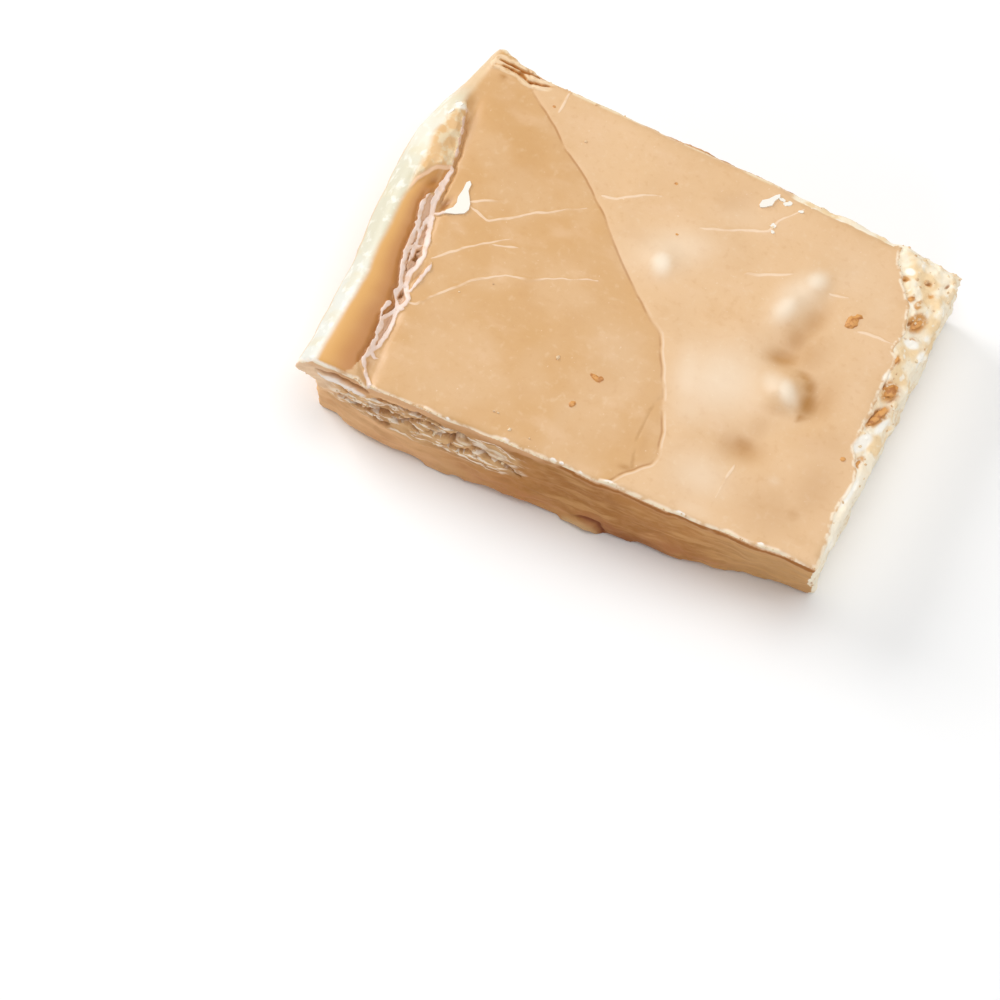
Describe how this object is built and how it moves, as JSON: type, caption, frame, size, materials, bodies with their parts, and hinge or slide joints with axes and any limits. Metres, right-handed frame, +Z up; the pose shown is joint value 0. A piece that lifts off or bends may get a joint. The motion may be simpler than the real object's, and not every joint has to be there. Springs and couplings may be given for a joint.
{
  "type": "maple nut fudge slice",
  "caption": "Hand-cut slab of tan nut fudge with a smooth poured top, a rolled and cracked lip, raised nut bumps, a torn crumbly ledge and ragged cut sides, for resting flat.",
  "frame": {"origin": "centre of the slice's box at its flat cut bottom", "axes": "+X along the long near side, from the rolled lip to the torn side; +Y across the slice, away from the layered near side; +Z up, out of the smooth poured top"},
  "size_m": [0.1158, 0.0842, 0.024],
  "materials": {
    "fudge": "satin, slightly waxy"
  },
  "bodies": {
    "root": {"fudge_slice": "fudge"}
  },
  "joints": []
}
